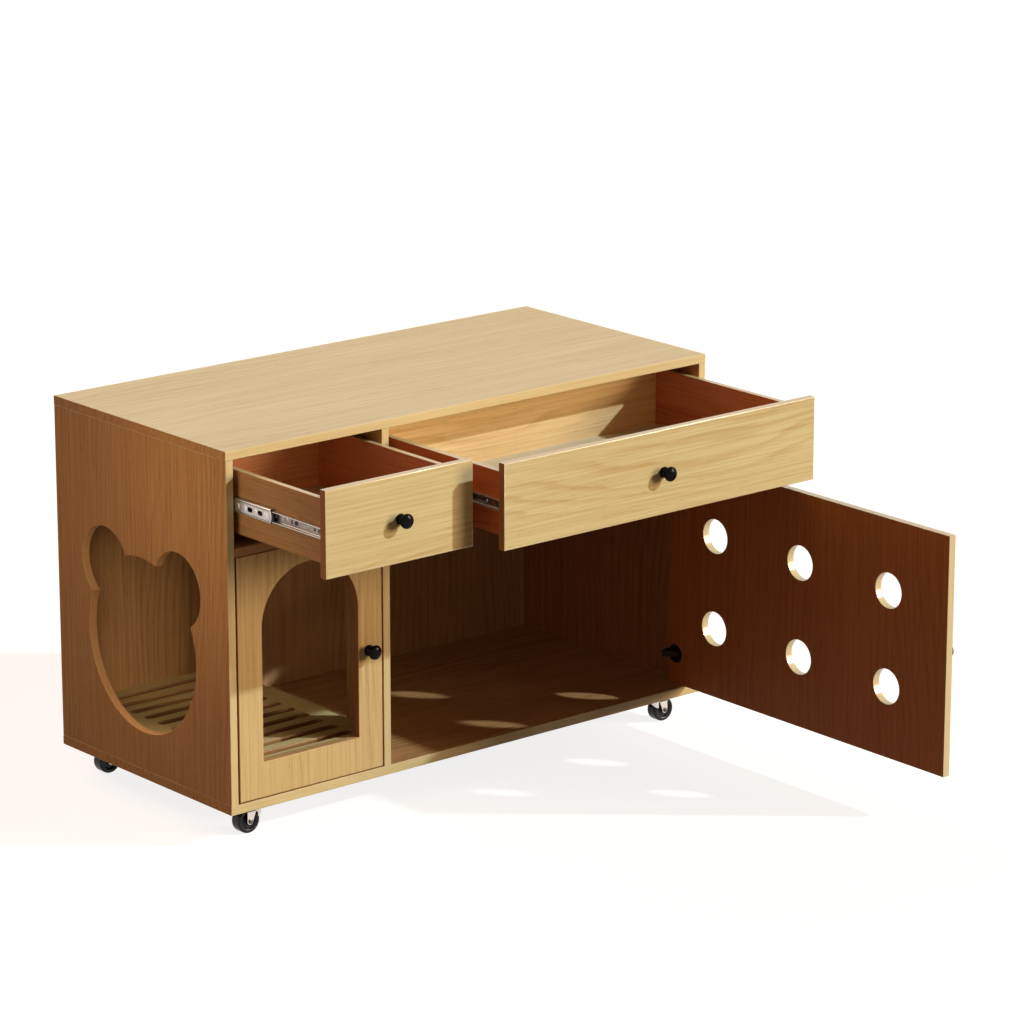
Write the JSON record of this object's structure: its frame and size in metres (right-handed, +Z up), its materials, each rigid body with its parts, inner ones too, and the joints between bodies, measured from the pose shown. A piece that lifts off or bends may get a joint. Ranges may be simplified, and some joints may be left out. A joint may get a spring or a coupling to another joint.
{
  "type": "cat litter box cabinet",
  "caption": "Wheeled wood-grain cabinet for a cat litter tray: drawers over compartments, an arched door, a vented door, a slotted grate and an animal-head side entrance.",
  "frame": {"origin": "On the floor under the middle of the box round the whole object as pictured, with the drawers pulled out and the right door open.", "axes": "+X to the right seen from the front, +Y from the front to the back, +Z up."},
  "size_m": [1.2, 1.3076, 0.773],
  "materials": {
    "board": "satin wood-grain laminate",
    "grate_board": "satin wood-grain laminate with paler slot edges",
    "door_board": "satin wood-grain laminate",
    "drawer_front": "satin wood-grain laminate",
    "drawer_board": "reddish wood-grain laminate",
    "drawer_bottom": "thin wood-grain board",
    "knob": "glossy black",
    "rail_steel": "bright zinc plated sheet steel",
    "hinge_steel": "dark coated pressed steel",
    "caster_steel": "bright plated pressed steel",
    "wheel": "glossy black hard plastic"
  },
  "bodies": {
    "cabinet": {"top_panel": "board", "bottom_panel": "board", "left_side_panel": "board", "right_side_panel": "board", "back_panel": "board", "divider_panel": "board", "left_shelf": "board", "right_shelf": "board", "litter_grate": "grate_board", "left_grate_rail": "grate_board", "right_grate_rail": "grate_board", "left_door_lower_hinge_arm": "hinge_steel", "left_door_upper_hinge_arm": "hinge_steel", "right_door_lower_hinge_arm": "hinge_steel", "right_door_upper_hinge_arm": "hinge_steel", "small_drawer_left_outer_rail": "rail_steel", "small_drawer_right_outer_rail": "rail_steel", "large_drawer_left_outer_rail": "rail_steel", "large_drawer_right_outer_rail": "rail_steel", "front_left_caster_plate": "caster_steel", "front_right_caster_plate": "caster_steel", "rear_left_caster_plate": "caster_steel", "rear_right_caster_plate": "caster_steel"},
    "left_door_leaf": {"left_door": "door_board", "left_door_knob": "knob", "left_door_lower_hinge_cup": "hinge_steel", "left_door_upper_hinge_cup": "hinge_steel"},
    "right_door_leaf": {"right_door": "door_board", "right_door_knob": "knob", "right_door_lower_hinge_cup": "hinge_steel", "right_door_upper_hinge_cup": "hinge_steel"},
    "small_drawer": {"small_drawer_front": "drawer_front", "small_drawer_left_side": "drawer_board", "small_drawer_right_side": "drawer_board", "small_drawer_back": "drawer_board", "small_drawer_bottom": "drawer_bottom", "small_drawer_knob": "knob", "small_drawer_left_inner_rail": "rail_steel", "small_drawer_right_inner_rail": "rail_steel"},
    "small_runners": {"small_drawer_left_middle_rail": "rail_steel", "small_drawer_right_middle_rail": "rail_steel"},
    "large_drawer": {"large_drawer_front": "drawer_front", "large_drawer_left_side": "drawer_board", "large_drawer_right_side": "drawer_board", "large_drawer_back": "drawer_board", "large_drawer_bottom": "drawer_bottom", "large_drawer_knob": "knob", "large_drawer_left_inner_rail": "rail_steel", "large_drawer_right_inner_rail": "rail_steel"},
    "large_runners": {"large_drawer_left_middle_rail": "rail_steel", "large_drawer_right_middle_rail": "rail_steel"},
    "front_left_swivel": {"front_left_caster_fork": "caster_steel"},
    "front_left_wheel": {"front_left_caster_wheel": "wheel"},
    "front_right_swivel": {"front_right_caster_fork": "caster_steel"},
    "front_right_wheel": {"front_right_caster_wheel": "wheel"},
    "rear_left_swivel": {"rear_left_caster_fork": "caster_steel"},
    "rear_left_wheel": {"rear_left_caster_wheel": "wheel"},
    "rear_right_swivel": {"rear_right_caster_fork": "caster_steel"},
    "rear_right_wheel": {"rear_right_caster_wheel": "wheel"}
  },
  "joints": [
    {"name": "door_left_hinge", "type": "hinge", "parent": "cabinet", "child": "left_door_leaf", "pos_m": [-0.5505, 0.1082, 0.3225], "axis": [0, 0, -1], "range_deg": [0, 110]},
    {"name": "door_right_hinge", "type": "hinge", "parent": "cabinet", "child": "right_door_leaf", "pos_m": [0.5505, 0.1082, 0.3225], "axis": [0, 0, 1], "range_deg": [-90, 20]},
    {"name": "drawer_large_slide", "type": "slide", "parent": "cabinet", "child": "large_drawer", "axis": [0, -1, 0], "range_m": [-0.34, 0.11]},
    {"name": "drawer_small_slide", "type": "slide", "parent": "cabinet", "child": "small_drawer", "axis": [0, -1, 0], "range_m": [-0.276, 0.174]},
    {"name": "runner_large_slide", "type": "slide", "parent": "cabinet", "child": "large_runners", "axis": [0, -1, 0], "range_m": [-0.17, 0.055]},
    {"name": "runner_small_slide", "type": "slide", "parent": "cabinet", "child": "small_runners", "axis": [0, -1, 0], "range_m": [-0.138, 0.087]},
    {"name": "swivel_front_left", "type": "hinge", "parent": "cabinet", "child": "front_left_swivel", "pos_m": [-0.513, 0.1438, 0.052], "axis": [0, 0, 1], "continuous": true},
    {"name": "swivel_front_right", "type": "hinge", "parent": "cabinet", "child": "front_right_swivel", "pos_m": [0.513, 0.1438, 0.052], "axis": [0, 0, 1], "continuous": true},
    {"name": "swivel_rear_left", "type": "hinge", "parent": "cabinet", "child": "rear_left_swivel", "pos_m": [-0.513, 0.6038, 0.052], "axis": [0, 0, 1], "continuous": true},
    {"name": "swivel_rear_right", "type": "hinge", "parent": "cabinet", "child": "rear_right_swivel", "pos_m": [0.513, 0.6038, 0.052], "axis": [0, 0, 1], "continuous": true},
    {"name": "wheel_front_left", "type": "hinge", "parent": "front_left_swivel", "child": "front_left_wheel", "pos_m": [-0.531, 0.1438, 0.025], "axis": [0, 1, 0], "continuous": true},
    {"name": "wheel_front_right", "type": "hinge", "parent": "front_right_swivel", "child": "front_right_wheel", "pos_m": [0.531, 0.1438, 0.025], "axis": [0, 1, 0], "continuous": true},
    {"name": "wheel_rear_left", "type": "hinge", "parent": "rear_left_swivel", "child": "rear_left_wheel", "pos_m": [-0.531, 0.6038, 0.025], "axis": [0, 1, 0], "continuous": true},
    {"name": "wheel_rear_right", "type": "hinge", "parent": "rear_right_swivel", "child": "rear_right_wheel", "pos_m": [0.531, 0.6038, 0.025], "axis": [0, 1, 0], "continuous": true}
  ],
  "couplings": [
    {"joint": "runner_large_slide", "follows": "drawer_large_slide", "ratio": 0.5},
    {"joint": "runner_small_slide", "follows": "drawer_small_slide", "ratio": 0.5}
  ]
}
